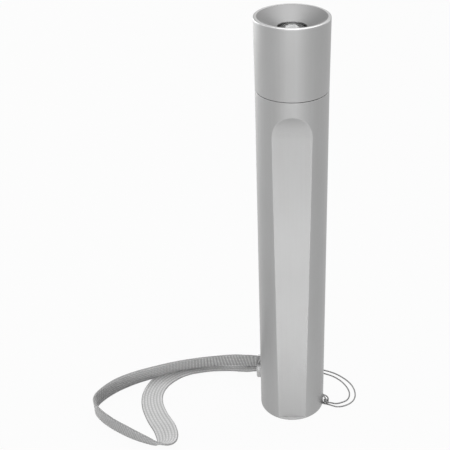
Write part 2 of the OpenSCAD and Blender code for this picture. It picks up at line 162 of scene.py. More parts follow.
def capped(points: Array, ends: Optional[Array] = None) -> Surface:
    """Skins a tube of rings and closes each end with a fan.

    Args:
        points: rings by places round the ring by three.
        ends: the middles of the two fans; those of the end rings where none are given.

    Returns:
        The closed surface.
    """
    rings, sides = points.shape[:2]
    body = grid(points)
    middles = points[[0, -1]].mean(axis=1) if ends is None else ends
    j = np.arange(sides)
    after, last = (j + 1) % sides, (rings - 1) * sides
    foot = np.stack([np.full(sides, rings * sides), after, j], axis=-1)
    top = np.stack([np.full(sides, rings * sides + 1), last + j, last + after], axis=-1)
    return Surface(np.vstack([body.points, middles]), body.faces + [foot, top])


def rounded_profile(corners: Sequence[Point], loop: bool = True) -> Array:
    """Rounds the corners of a profile, each with the parabola that touches both of its sides.

    Args:
        corners: radius, height and reach of the rounding at each corner.
        loop: True where the last corner joins the first.

    Returns:
        Radius and height of each point, in order.
    """
    steps = 6
    c = np.array(corners, float)
    place, reach = c[:, :2], c[:, 2:]
    if not loop:
        reach[[0, -1]] = 0

    def toward(step: int) -> Array:
        """The points one reach from each corner on the way to a neighbour."""
        gap = np.roll(place, step, axis=0) - place
        length = np.linalg.norm(gap, axis=1, keepdims=True)
        return (place + gap / np.maximum(length, 1e-9) * reach)[:, None]

    s = np.linspace(0, 1, steps)[None, :, None]
    line = ((1 - s) ** 2 * toward(1) + 2 * s * (1 - s) * place[:, None]
            + s ** 2 * toward(-1)).reshape(-1, 2)
    return line[np.append(True, np.linalg.norm(np.diff(line, axis=0), axis=1) > 1e-5)]


def lathe(profile: Array, columns: int = 128, loop: bool = True) -> Surface:
    """Turns a profile round the axis: each point goes to radius times cosine and sine.

    Args:
        profile: radius and height, anticlockwise; an open profile starts and ends on the axis.
        columns: places round the axis.
        loop: True for a ring, False for a solid whose ends lie on the axis.

    Returns:
        The closed surface of revolution.
    """
    turn = around(columns)
    line = profile if loop else profile[1:-1]
    radius, height = line[:, :1], line[:, 1:]
    points = np.stack([radius * np.cos(turn), radius * np.sin(turn), height + 0 * turn], -1)
    if loop:
        return grid(points, loop_rows=True)
    return capped(points, np.pad(profile[[0, -1], 1:], ((0, 0), (2, 0))))


def spline(knots: Array, steps: int) -> Array:
    """A smooth curve through its knots, whose slope at each is half its neighbours' gap.

    Args:
        knots: one row each, of any width.
        steps: points to each stretch between knots.

    Returns:
        The curve's points, ends included.
    """
    padded = np.vstack([knots[:1], knots, knots[-1:]])
    a, b, c, d = padded[:-3, None], padded[1:-2, None], padded[2:-1, None], padded[3:, None]
    u = np.linspace(0, 1, steps, endpoint=False)[None, :, None]
    curve = 0.5 * (2 * b + (c - a) * u + (2 * a - 5 * b + 4 * c - d) * u ** 2
                   + (3 * b - a - 3 * c + d) * u ** 3)
    return np.vstack([curve.reshape(-1, knots.shape[1]), knots[-1:]])


def evenly(points: Array, gap: float, *others: Array) -> list[Array]:
    """Spaces a line's points evenly, and carries other values with them.

    Args:
        points: the line.
        gap: the wanted distance between points.
        others: values of any width at each point.

    Returns:
        The new points, and the other values at them.
    """
    far = along(points)
    at = np.linspace(0, far[-1], max(2, int(round(far[-1] / gap)) + 1))
    return [np.stack([np.interp(at, far, column) for column in values.T], axis=-1)
            for values in (points, *others)]


def tube(line: Array, radius: Array, sides: int, start: Array = UP) -> Surface:
    """A round tube: a circle of the local radius set square to the line at each point.

    The direction across at each point is the one before it less its part along the line, so
    the tube turns as little as the line lets it.

    Args:
        line: evenly spaced points.
        radius: radius at each point and side, or one number.
        sides: places round the tube.
        start: what the first direction across leans to.

    Returns:
        The closed tube.
    """
    ahead = unit(np.gradient(line, axis=0))
    side = [start]
    for direction in ahead:
        side.append(unit(side[-1] - (side[-1] @ direction) * direction))
    across = np.array(side[1:])
    turn = around(sides)[None, :, None]
    spokes = np.cos(turn) * across[:, None] + np.sin(turn) * np.cross(ahead, across)[:, None]
    size = np.broadcast_to(np.asarray(radius, float), (len(line), sides))
    return capped(line[:, None] + spokes * size[..., None])


def rod(start: Array, end: Array, radius: float, sides: int = 48) -> Surface:
    """A plain round bar between two points, used as a drill."""
    slant = np.array([0.0, 0.31, 0.95])
    return tube(np.stack([start, end]).astype(float), radius, sides, slant)


# ---------------------------------------------------------------- finishes


class Graph:
    """The nodes of one material, or of the world."""

    def __init__(self, owner: bpy.types.ID) -> None:
        """Starts the owner with an empty tree."""
        owner.use_nodes = True
        self.owner, self.tree = owner, owner.node_tree
        self.tree.nodes.clear()

    def put(self, socket: Socket, value: object) -> None:
        """Links a socket to another node's output, or sets a constant on it."""
        if isinstance(value, bpy.types.NodeSocket):
            self.tree.links.new(value, socket)
        else:
            socket.default_value = value

    def fill(self, node: Node, **inputs: object) -> Node:
        """Fills a node's inputs; a name's underscores stand for spaces."""
        for name, value in inputs.items():
            self.put(node.inputs[name.replace("_", " ")], value)
        return node

    def add(self, kind: str, **inputs: object) -> Node:
        """Adds a node of a kind and fills its inputs."""
        return self.fill(self.tree.nodes.new("ShaderNode" + kind), **inputs)

    def finish(self, kind: str, shader: Node) -> None:
        """Ends the tree in a shader."""
        self.add(kind, Surface=shader.outputs[0])

    def either(self, share: object, first: Node, second: Node) -> Node:
        """Mixes two shaders by a share."""
        node = self.add("MixShader", Fac=share)
        self.put(node.inputs[1], first.outputs[0])
        self.put(node.inputs[2], second.outputs[0])
        return node

    def mark(self, name: str) -> Socket:
        """A number that the mesh carries at each vertex."""
        node = self.add("Attribute")
        node.attribute_name = name
        return node.outputs["Fac"]

    def place(self, stretch: Point = (1, 1, 1)) -> Socket:
        """Object coordinates in metres, squeezed along each axis."""
        source = self.add("TexCoord").outputs["Object"]
        return self.add("Mapping", Scale=stretch, Vector=source).outputs["Vector"]

    def noise(self, size_mm: float, detail: float = 2.0, stretch: Point = (1, 1, 1)) -> Socket:
        """Cloudy noise, from nought to one, whose blotches are about one size across."""
        return self.add("TexNoise", Scale=1 / (size_mm * MM), Detail=detail,
                        Vector=self.place(stretch)).outputs["Fac"]

    def math(self, operation: str, a: object, b: object = 0.0) -> Socket:
        """One sum on two numbers or sockets."""
        node = self.add("Math")
        node.operation = operation
        self.put(node.inputs[0], a)
        self.put(node.inputs[1], b)
        return node.outputs[0]

    def weigh(self, *terms: tuple[Socket, float]) -> Socket:
        """Adds up values, each times its weight."""
        total, *rest = [self.math("MULTIPLY", value, weight) for value, weight in terms]
        for term in rest:
            total = self.math("ADD", total, term)
        return total

    def spread(self, value: object, low: float, high: float, start: float = 0.0,
               end: float = 1.0) -> Socket:
        """Maps a value from one range to another, held at both ends.

        Args:
            value: a number or socket.
            low: result at the start.
            high: result at the end.
            start: value that gives low.
            end: value that gives high.

        Returns:
            The mapped value.
        """
        node = self.add("MapRange", Value=value, From_Min=start, From_Max=end, To_Min=low,
                        To_Max=high)
        node.clamp = True
        return node.outputs["Result"]

    def ramp(self, value: object, start: float, end: float) -> Socket:
        """Nought up to the start and one past the end."""
        return self.spread(value, 0, 1, start, end)

    def wave(self, value: object, length: float, top: float = 1.0) -> Socket:
        """A sine of one wavelength, from nought at its foot to one at the top and past it."""
        return self.ramp(self.math("SINE", self.math("MULTIPLY", value, TURN / length)), -1, top)

    def blend(self, share: object, a: object, b: object) -> Socket:
        """Mixes two colours by a share."""
        node = self.add("Mix")
        node.data_type = "RGBA"
        return self.fill(node, Factor=share, A=a, B=b).outputs["Result"]

    def bump(self, height: object, depth_mm: float, strength: float) -> Socket:
        """The normal of a surface raised by a height, from nought to one, times a depth."""
        return self.add("Bump", Strength=strength, Distance=depth_mm * MM,
                        Height=height).outputs["Normal"]


def grey(tone: float, warmth: float = 0.0) -> Colour:
    """A grey of one tone, a little warmer or cooler."""
    return (tone * (1 + warmth), tone, tone * (1 - warmth), 1.0)


def shades(colour: Colour, *levels: float) -> list[Colour]:
    """Darker and lighter shades of a colour."""
    return [tuple(min(1.0, c * level) for c in colour[:3]) + (1.0,) for level in levels]


@dataclass(frozen=True)
class Finish:
    """A named finish; each kind of finish says what feeds its surface shader."""

    name: str

    def sockets(self, g: Graph) -> dict[str, object]:
        """What feeds the shader, by the names of its sockets."""
        raise NotImplementedError

    def make(self) -> Material:
        """Builds the material."""
        g = Graph(bpy.data.materials.new(self.name))
        g.finish("OutputMaterial", g.add("BsdfPrincipled", **self.sockets(g)))
        return g.owner


class Wear(Enum):
    """How much a metal's edges have been rubbed."""

    NONE = 0.0
    LIGHT = 0.12


@dataclass(frozen=True)
class BlastedMetal(Finish):
    """Bead-blasted and clear anodised aluminium: fine grain, slow mottle, rubbed edges."""

    tone: float = 0.365
    roughness: float = 0.5
    grain_mm: float = 0.16
    wear: Wear = Wear.LIGHT

    def sockets(self, g: Graph) -> dict[str, object]:
        """Specks on mottle and faint upright streaks; a rubbed edge is paler and smoother."""
        tone, grain = self.tone, g.noise(self.grain_mm, 2.5)
        mottle = g.noise(7.0, 3.0, (1, 1, 0.35))
        streak = g.noise(0.9, 1.0, (1, 1, 0.012))
        cloud = g.ramp(g.weigh((mottle, 0.6), (streak, 0.4)), 0.3, 0.7)
        tint = g.blend(cloud, grey(tone * 0.965, 0.004), grey(tone * 1.035, -0.004))
        speck = g.blend(g.ramp(grain, 0.35, 0.65), grey(tone * 0.94), grey(tone * 1.06))
        rubbed = g.math("MULTIPLY", g.mark("edge"), self.wear.value)
        dull = g.spread(mottle, self.roughness - 0.02, self.roughness + 0.02)
        return dict(
            Base_Color=g.blend(rubbed, g.blend(0.3, tint, speck), grey(min(0.9, tone * 1.7))),
            Metallic=1.0, Roughness=g.math("SUBTRACT", dull, g.math("MULTIPLY", rubbed, 0.15)),
            Normal=g.bump(grain, 0.006, 0.35))


@dataclass(frozen=True)
class TurnedMetal(Finish):
    """Metal as the lathe tool leaves it: fine rings, set along the axis or across it."""

    tone: float
    roughness: float = 0.28
    pitch_mm: float = 0.14

    def sockets(self, g: Graph) -> dict[str, object]:
        """Rings that count the mark that grows along the tool's path, with some chatter."""
        ring, chatter = g.wave(g.mark("tool"), self.pitch_mm), g.noise(1.4)
        return dict(
            Base_Color=g.blend(g.weigh((ring, 0.5), (chatter, 0.5)),
                               *shades(grey(self.tone), 0.93, 1.07)),
            Metallic=1.0,
            Roughness=g.spread(chatter, self.roughness - 0.05, self.roughness + 0.05),
            Normal=g.bump(ring, 0.003, 0.6))


@dataclass(frozen=True)
class DrawnMetal(Finish):
    """Plain drawn or stamped metal, such as wire, screws and contact parts."""

    colour: Colour
    roughness: float

    def sockets(self, g: Graph) -> dict[str, object]:
        """Faint lines from the die, and dull patches."""
        drawn = g.noise(0.25, 3.0, (1, 1, 0.3))
        return dict(
            Base_Color=g.blend(g.ramp(g.noise(1.6), 0.3, 0.7), *shades(self.colour, 0.86, 1.1)),
            Metallic=1.0,
            Roughness=g.spread(drawn, self.roughness - 0.08, self.roughness + 0.1),
            Normal=g.bump(drawn, 0.004, 0.4))


@dataclass(frozen=True)
class MouldedPlastic(Finish):
    """Moulded plastic or rubber with a fine spark-eroded skin."""

    colour: Colour
    roughness: float
    texture_mm: float = 0.22
    depth_mm: float = 0.008
    coat: float = 0.0

    def sockets(self, g: Graph) -> dict[str, object]:
        """The mould's skin, and shades where the plastic flowed."""
        skin = g.noise(self.texture_mm)
        return dict(
            Base_Color=g.blend(g.ramp(g.noise(3.5, 3.0), 0.3, 0.7),
                               *shades(self.colour, 0.9, 1.08)),
            Roughness=g.spread(skin, self.roughness - 0.06, self.roughness + 0.08),
            Coat_Weight=self.coat, Coat_Roughness=0.2,
            Normal=g.bump(skin, self.depth_mm, 0.5))


@dataclass(frozen=True)
class CircuitBoard(Finish):
    """Glass-fibre board: solder mask over traces that run in two directions."""

    mask: Colour = (0.03, 0.16, 0.08, 1.0)
    trace: Colour = (0.06, 0.26, 0.13, 1.0)

    def sockets(self, g: Graph) -> dict[str, object]:
        """A trace shows where either stretched noise crosses a level."""
        runs = g.math("MAXIMUM", g.ramp(g.noise(1.1, 0.0, (1, 0.16, 1)), 0.56, 0.58),
                      g.ramp(g.noise(1.1, 0.0, (0.16, 1, 1)), 0.6, 0.62))
        return dict(
            Base_Color=g.blend(runs, self.mask, self.trace), Coat_Weight=0.3,
            Roughness=g.spread(g.noise(0.4), 0.26, 0.36), Normal=g.bump(runs, 0.035, 0.6))


@dataclass(frozen=True)
class CellJacket(Finish):
    """A dry cell's printed film sleeve: a dark body, a metallic band and a bare steel end."""

    length_mm: float = 50.0
    foot_mm: float = 24.5

    def sockets(self, g: Graph) -> dict[str, object]:
        """Bands that count the share of a cell's length above the first cell's foot."""
        height = g.add("SeparateXYZ", Vector=g.place()).outputs["Z"]
        height = g.math("SUBTRACT", height, self.foot_mm * MM)
        share = g.math("FRACT", g.math("DIVIDE", height, self.length_mm * MM))
        band = g.ramp(share, 0.70, 0.705)
        steel = g.math("MAXIMUM", g.spread(share, 1, 0, 0.028, 0.03),
                       g.ramp(share, 0.955, 0.957))
        film = g.noise(2.5, 2.0, (1, 1, 0.2))
        sleeve = g.blend(band, (0.05, 0.055, 0.065, 1), (0.46, 0.38, 0.24, 1))
        return dict(
            Base_Color=g.blend(steel, sleeve, (0.62, 0.62, 0.6, 1)),
            Metallic=g.spread(g.math("MAXIMUM", band, steel), 0.15, 0.9),
            Roughness=g.spread(film, 0.22, 0.36), Coat_Weight=0.4, Coat_Roughness=0.08,
            Normal=g.bump(film, 0.02, 0.3))


@dataclass(frozen=True)
class ClearMoulding(Finish):
    """Clear acrylic or silicone, with the faint swirl of a moulded part."""

    tint: Colour = (0.97, 0.98, 0.98)
    roughness: float = 0.02
    ior: float = 1.49

    def sockets(self, g: Graph) -> dict[str, object]:
        """A clear body that is a little duller where it swirls."""
        swirl = g.noise(2.2, 1.0)
        return dict(
            Base_Color=g.blend(swirl, *shades(self.tint, 0.97, 1.0)), IOR=self.ior,
            Transmission_Weight=1.0,
            Roughness=g.spread(swirl, self.roughness * 0.5, self.roughness * 1.5),
            Normal=g.bump(swirl, 0.004, 0.2))


@dataclass(frozen=True)
class Webbing(Finish):
    """Woven polyester webbing: warp ribs along it, and weft yarns that cross over and under."""

    light: float = 0.6
    dark: float = 0.2
    weft_mm: float = 0.9

    def sockets(self, g: Graph) -> dict[str, object]:
        """Ribs, creases and weft by the marks that run across and along the band; the rib and
        crease marks darken the colour in the grooves, at the selvedges and in the folds, as
        painted shade.
        """
        weft = g.wave(g.mark("along"), self.weft_mm)
        fold = g.wave(g.mark("along"), CREASE, 0.6)
        fuzz, patch = g.noise(0.12), g.noise(4.0)
        # The crease mark darkens each fold's trough: painted shade, strongest near the block and
        # on the standing front part.
        painted_crease_shade = g.math("SUBTRACT", 1.0, g.math("MULTIPLY", g.mark("crease"), fold))
        # Low rib marks darken the grooves and the selvedges: painted shade.
        ribbed = g.math("MULTIPLY", g.mark("rib"), painted_crease_shade)
        yarn_and_painted_shade = g.weigh((ribbed, 0.62), (weft, 0.12), (fuzz, 0.16), (patch, 0.1))
        return dict(
            Base_Color=g.blend(g.ramp(yarn_and_painted_shade, 0.12, 0.85), grey(self.dark), grey(self.light)),
            Roughness=g.spread(fuzz, 0.62, 0.82), Sheen_Weight=0.25, Sheen_Roughness=0.4,
            Normal=g.bump(g.weigh((weft, 0.5), (fuzz, 0.5)), 0.05, 0.7))


@dataclass(frozen=True)
class BraidedCord(Finish):
    """Thin braided nylon: strands painted lighter, as painted highlight, between crossings
    painted darker, as painted shade.
    """

    light: float = 0.26
    dark: float = 0.08

    def sockets(self, g: Graph) -> dict[str, object]:
        """Strands by the mark of the braid's own height; higher is painted lighter, as painted
        highlight and shade.
        """
        fuzz = g.noise(0.06)
        strand = g.weigh((g.mark("braid"), 0.7), (fuzz, 0.3))
        return dict(
            # Colour follows the braid's height: painted highlight on the strands, painted shade
            # between them.
            Base_Color=g.blend(g.ramp(strand, 0.15, 0.85), grey(self.dark), grey(self.light)),
            Roughness=g.spread(fuzz, 0.45, 0.6), Sheen_Weight=0.15,
            Normal=g.bump(strand, 0.02, 0.6))


@dataclass(frozen=True)
class Phosphor(Finish):
    """The LED's ceramic package with its yellow phosphor."""

    def sockets(self, g: Graph) -> dict[str, object]:
        """One fine grain."""
        grain = g.noise(0.2)
        return dict(
            Base_Color=g.blend(grain, (0.82, 0.72, 0.24, 1), (0.95, 0.86, 0.4, 1)),
            Roughness=g.spread(grain, 0.4, 0.6), Normal=g.bump(grain, 0.01, 0.4))


# ---------------------------------------------------------------- pieces


def show(name: str, data: bpy.types.ID) -> Object:
    """Puts a mesh, a lamp or a camera in the scene as an object."""
    item = bpy.data.objects.new(name, data)
    bpy.context.scene.collection.objects.link(item)
    return item


def make_piece(name: str, surface: Surface, body: str, finishes: Sequence[Material],
               replaces: Sequence[str] = (), zone: Optional[Callable[[Array], Array]] = None,
               sharp_angle: float = 34.0) -> Object:
    """Makes a mesh object that rides on a body of the frame.

    Args:
        name: the piece's name.
        surface: its mesh, in millimetres.
        body: the CAD body that it moves with.
        finishes: its materials.
        replaces: CAD nodes that it stands for.
        zone: gives each face's finish from the faces' middles.
        sharp_angle: edges sharper than this many degrees stay crisp.

    Returns:
        The object.
    """
    mesh = surface.mesh(name)
    count = len(mesh.polygons)
    for finish in finishes:
        mesh.materials.append(finish)
    if zone is not None:
        mesh.polygons.foreach_set("material_index", zone(surface.centres()).astype(np.int32))
    mesh.polygons.foreach_set("use_smooth", np.ones(count, bool))
    for mark, values in surface.marks.items():
        layer = mesh.attributes.new(mark, "FLOAT", "POINT")
        layer.data.foreach_set("value", values.astype(np.float32))
    mesh.update()
    mesh.set_sharp_from_angle(angle=math.radians(sharp_angle))
    piece = show(name, mesh)
    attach(piece, body)
    if replaces:
        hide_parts(*replaces)
    LOG.info("%s: %d faces on %s", name, count, body)
    return piece


def cut(piece: Object, cutters: Sequence[Surface]) -> None:
    """Takes the cutters' volumes out of a piece and keeps its edges crisp.

    Args:
        piece: the object to cut.
        cutters: closed surfaces, in millimetres.
    """
    for cutter in cutters:
        tool = show("cutter", cutter.mesh("cutter"))
        modifier = piece.modifiers.new("cut", "BOOLEAN")
        modifier.operation, modifier.solver, modifier.object = "DIFFERENCE", "EXACT", tool
        evaluated = piece.evaluated_get(bpy.context.evaluated_depsgraph_get())
        piece.data = bpy.data.meshes.new_from_object(evaluated)
        piece.modifiers.clear()
        bpy.data.objects.remove(tool)
    piece.data.set_sharp_from_angle(angle=math.radians(30))


def dress(finish: Finish, *nodes: str) -> None:
    """Gives one finish to CAD nodes that keep their own shape.

    Args:
        finish: the finish.
        nodes: the nodes' names.
    """
    material = finish.make()
    for name in nodes:
        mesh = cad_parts[name].data
        mesh.materials.clear()
        mesh.materials.append(material)
        LOG.info("%s: dressed with %s", name, material.name)


# ---------------------------------------------------------------- strap and cord


# The two edges of the band at each place along it, and the wavelength of its folds.
STRAP_KNOTS: tuple[tuple[Point, Point], ...] = (
    ((-6, 18.9, 6.6), (-6, 30.9, 6.6)), ((-9.5, 18.9, 6.7), (-9.5, 30.8, 6.5)),
    ((-13, 18.8, 10.1), (-13, 29.8, 5.3)), ((-17, 18.9, 13.7), (-17, 26.7, 4.5)),
    ((-20.8, 19.5, 15.5), (-20.8, 24, 4.4)), ((-27, 20.4, 15.2), (-27, 24.8, 4.1)),
    ((-34, 21.8, 14.3), (-34, 26.2, 3.2)), ((-44, 22.2, 13.1), (-44.4, 27, 2.2)),
    ((-56, 20.8, 12.3), (-57, 25.4, 2.1)), ((-68, 17.8, 12.1), (-69.4, 22, 1.9)),
    ((-80, 14, 11.6), (-81.4, 17.2, 0.8)), ((-90.5, 9.2, 11.7), (-91.6, 12, 0.5)),
    ((-100, 2.6, 11.8), (-101.4, 4.4, 0.5)), ((-107, -6.2, 11.8), (-108.3, -4.8, 0.5)),
    ((-108.8, -13.6, 11.8), (-109, -11.8, 0.5)), ((-104.8, -21, 11.7), (-104.6, -18.6, 0.5)),
    ((-96, -29.2, 11.5), (-97, -25.4, 0.7)), ((-86, -36, 11.2), (-87.6, -31.6, 0.8)),
    ((-76.5, -41.6, 10.4), (-78.8, -35.6, 0.9)), ((-68.4, -44.8, 8.6), (-73.6, -36.8, 0.9)),
    ((-62.8, -43, 6.4), (-71.6, -35.6, 0.9)), ((-61.2, -36.6, 4.6), (-72, -32, 0.9)),
    ((-63.6, -27.4, 3), (-75, -24.6, 0.9)), ((-68.8, -17, 1.9), (-80, -15.6, 0.9)),
    ((-72.6, -6, 1.2), (-84.2, -5.2, 0.9)), ((-73, 4.4, 1), (-84.8, 5.2, 0.9)),
    ((-69.2, 13, 1), (-80, 17.6, 0.9)), ((-61, 19.6, 1), (-67.6, 29.6, 0.9)),
    ((-49, 23, 1), (-50.6, 34.8, 0.9)), ((-36, 23.2, 1.4), (-36, 35.2, 1.4)),
    ((-27, 20.8, 3), (-27, 32.8, 3)), ((-20.8, 18.9, 4.8), (-20.8, 30.9, 4.8)),
    ((-14, 18.9, 4.9), (-14, 30.9, 4.9)), ((-6, 18.9, 4.9), (-6, 30.9, 4.9)))
CREASE = 1.85

# The height of the cord's middle where it lies on the floor, and its route out and back.
LIE = 0.45
CORD_OUT: tuple[Point, ...] = (
    (0, 26.5, 2), (1.6, 26.5, 2), (5, 26.9, 1.2), (9, 27.2, LIE), (14, 26.6, LIE),
    (18.5, 25, LIE), (24.5, 22.2, LIE), (29, 18.6, LIE), (32.6, 14.4, LIE), (35, 9.6, LIE),
    (35.9, 4.4, LIE), (35.2, -0.4, LIE), (32.8, -4, LIE), (29, -6.4, LIE), (25, -7, LIE))
CORD_BACK: tuple[Point, ...] = (
    (24.6, -4.4, LIE), (27.6, -3.6, LIE), (30.6, -1.8, LIE), (32.3, 1.2, LIE),
    (32.6, 5.4, LIE), (31.2, 10.2, LIE), (28, 15.4, LIE), (23.6, 19.4, LIE),
    (18.2, 22.1, LIE), (13, 23.6, LIE), (8.4, 24.1, LIE), (5, 24, 1.2), (1.6, 23.5, 2),
    (0, 23.5, 2))

# Half of the hitch through the eye, as out from the axis, along the wall and up.
HITCH: tuple[Point, ...] = (
    (21.6, -0.9, LIE), (19.8, -0.6, LIE), (17.6, -0.5, 0.5), (15.6, -0.5, 0.7),
    (14.3, -0.5, 1.5), (14.05, -0.5, 2.8), (14.05, -0.5, 4.2), (14.4, -0.5, 5.5),
    (15.6, -0.5, 6), (17.2, -0.5, 6), (18.5, -0.7, 5.6), (19.5, -1.2, 4.6),
    (20.1, -1.7, 3.4), (20.4, -1.6, 2.2), (20.5, -0.8, 1.6))
HITCH_TOP: Point = (20.55, 0, 1.45)
EYE_ANGLE = math.radians(-12)


def at_eye(places: Sequence[Point]) -> Array:
    """Turns places given as out, along the wall and up at the eye into the frame's axes."""
    cos, sin = math.cos(EYE_ANGLE), math.sin(EYE_ANGLE)
    return np.array(places, float) @ np.array([[cos, sin, 0], [-sin, cos, 0], [0, 0, 1]])


@dataclass
class WristStrap:
    """The webbing loop: a thin ribbed band carried on its two edge lines."""

    width: float = 12.0
    thickness: float = 1.3
    ribs: int = 7
    rib_depth: float = 0.17
    crease_depth: float = 0.1
    block_fade: tuple[float, float] = (42.0, 86.0)
    front: float = 138.0
    front_fade: tuple[float, float] = (24.0, 36.0)
    pick: float = 1.8
    step: float = 0.37
    points_across: int = 50

    def section(self) -> tuple[Array, Array]:
        """Place across, from -1 to 1, and the signed share of the half-thickness there."""
        u = np.linspace(-1, 1, self.points_across)
        s = 0.85 * u + 0.15 * np.sin(np.pi * u / 2)
        across = np.concatenate([s[::-1], s[1:-1]])
        side = np.repeat([1.0, -1.0], [len(s), len(s) - 2])
        return across, side * np.sqrt(np.maximum(0, 1 - np.abs(across) ** 18))

    @staticmethod
    def step_down(far: Array, start: float, end: float) -> Array:
        """One up to start and nothing past end, with a smooth cubic between."""
        t = np.clip((end - far) / (end - start), 0, 1)
        return t * t * (3 - 2 * t)

    def build(self, finish: Material) -> None:
        """Carries the outline along the band.

        The half-thickness is full on each rib and falls in a narrow groove between ribs; every
        other rib swells half a pick later, as the weft passes over and under. Near the block
        and on the standing front part a sine along the band presses folds across it, and the
        crease mark paints shade into those folds. The rib mark, which paints shade into the
        grooves, fades over the selvedges, which are painted darker than the ribs as shade.

        Args:
            finish: the webbing's material.
        """
        knots = np.array(STRAP_KNOTS, float)
        middle, lean = evenly(spline(knots.mean(axis=1), 24), self.step,
                              spline(unit(knots[:, 0] - knots[:, 1]), 24))
        ahead = unit(np.gradient(middle, axis=0))
        wide = unit(lean - (lean * ahead).sum(axis=1, keepdims=True) * ahead)
        across, full = self.section()
        far = along(middle)[:, None]
        phase = (across + 1) / 2 * self.ribs
        weft = 0.5 + 0.5 * np.cos(TURN * far / self.pick + np.pi * np.floor(phase))
        rib = np.abs(np.sin(np.pi * phase)) ** 0.55 * (0.72 + 0.28 * weft)
        standing = self.step_down(np.abs(far - self.front), *self.front_fade)
        # The crease presses folds into the band and, in the finish, paints shade into them; its
        # standing term darkens the standing front part.
        crease = 0.8 * self.step_down(far, *self.block_fade) + 0.65 * standing + 0 * rib
        fold = 0.5 - 0.5 * np.sin(TURN * far / CREASE)
        height = full * (self.thickness / 2 - self.rib_depth * (1 - rib)
                         - self.crease_depth * crease * (1 - fold))
        points = (middle[:, None] + wide[:, None] * (across * self.width / 2)[:, None]
                  + np.cross(ahead, wide)[:, None] * height[..., None])
        # The selvedges and the grooves between ribs are painted darker: painted shade.
        selvedge = np.clip((np.abs(across) - 0.9) / 0.07, 0, 1)
        shade = rib * (1 - 0.8 * selvedge)
        surface = capped(points[:, ::-1]).mark(rib=shade[:, ::-1], along=far + 0 * rib,
                                               crease=crease)
        strap = make_piece("wrist_strap", surface, "barrel", [finish],
                           ["strap_webbing"], sharp_angle=60)


@dataclass
class StrapBlock:
    """The moulded block that joins the webbing to the cord."""

    ends_x: tuple[float, float] = (-20.6, 0.0)
    middle_y: float = 24.9
    width: float = 13.4
    height: float = 7.8
    corner: float = 1.5
    rounding: float = 1.0

    def build(self, finish: Material) -> Object:
        """Lofts rounded rectangles from end to end, with both ends rounded over.

        Each ring is a quarter circle at each corner, joined by straight sides.

        Args:
            finish: the block's material.

        Returns:
            The block.
        """
        bend = np.linspace(0, np.pi / 2, 9)
        inset, run = 2 * self.rounding * (1 - np.cos(bend)), self.rounding * (1 - np.sin(bend))
        x = np.concatenate([(self.ends_x[0] + run)[::-1], self.ends_x[1] - run])
        inset = np.concatenate([inset[::-1], inset])[:, None]
        size = np.array([self.width, self.height]) - inset
        corner = np.minimum(self.corner, size.min(axis=1) / 2 - 0.05)[:, None, None]
        quarter = np.linspace(0, np.pi / 2, 16) + (np.arange(4) * np.pi / 2)[:, None]
        sign = np.array([[1, 1], [-1, 1], [-1, -1], [1, -1]], float)
        centre = sign * (size / 2 - corner[:, 0])[:, None]
        y = centre[..., :1] + corner * np.cos(quarter) + self.middle_y
        z = centre[..., 1:] + corner * np.sin(quarter) + self.height / 2
        points = np.stack([x[:, None, None] + 0 * y, y, z], -1).reshape(len(x), -1, 3)
        return make_piece("strap_block", capped(points), "barrel", [finish],
                          ["strap_clip"], sharp_angle=38)


@dataclass
class LanyardCord:
    """The thin cord: out of the block, hitched through the eye in the barrel, and back."""

    diameter: float = 0.8
    step: float = 0.2
    sides: int = 16
    lay: float = 1.9
    wraps: float = 2.5
    wrap_half: tuple[float, float] = (1.45, 1.0)
    wrap_reach: tuple[float, float] = (18.3, 19.9)

    def route(self) -> Array:
        """The cord's middle line, evenly spaced."""
        hitch = np.array(HITCH, float)
        knots = np.vstack([CORD_OUT, at_eye(hitch), at_eye([HITCH_TOP]),
                           at_eye(hitch[::-1] * [1, -1, 1]), CORD_BACK])
        return evenly(spline(knots, 12), self.step)[0]

    def knot_line(self) -> Array:
        """The knot's middle line: an oval helix round both strands, out from the eye."""
        share = np.linspace(0, 1, 240)
        turn = TURN * self.wraps * share
        wide, tall = self.wrap_half
        low, high = self.wrap_reach
        places = np.stack([low + (high - low) * share, wide * np.sin(turn),
                           LIE + tall * (1 + np.cos(turn))], axis=-1)
        return evenly(at_eye(places), self.step)[0]

    def piece(self, name: str, line: Array, finish: Material, replaces: list[str]) -> Object:
        """Sweeps cord; two sets of strands wind opposite ways and swell where they cross.

        Args:
            name: the piece's name.
            line: the cord's middle line.
            finish: the cord's material.
            replaces: CAD nodes that it stands for.

        Returns:
            The braided piece.
        """
        turn = around(self.sides)[None, :]
        wind = TURN * along(line)[:, None] / self.lay
        braid = 0.5 + 0.5 * np.cos(4 * turn + 4 * wind) * np.cos(4 * turn - 4 * wind)
        surface = tube(line, self.diameter / 2 * (0.93 + 0.07 * braid), self.sides)
        return make_piece(name, surface.mark(braid=braid), "barrel", [finish],
                          replaces, sharp_angle=80)

    def build(self, finish: Material, block: Object) -> None:
        """Makes the cord and the wraps of its knot at the eye.

        Args:
            finish: the cord's material.
            block: the strap's block, which hangs on it; not used.
        """
        line = self.route()
        cord = self.piece("lanyard_cord_braid", line, finish, ["lanyard_cord"])
        knot = self.piece("lanyard_knot_wraps", self.knot_line(), finish, [])


# ---------------------------------------------------------------- barrel and tail


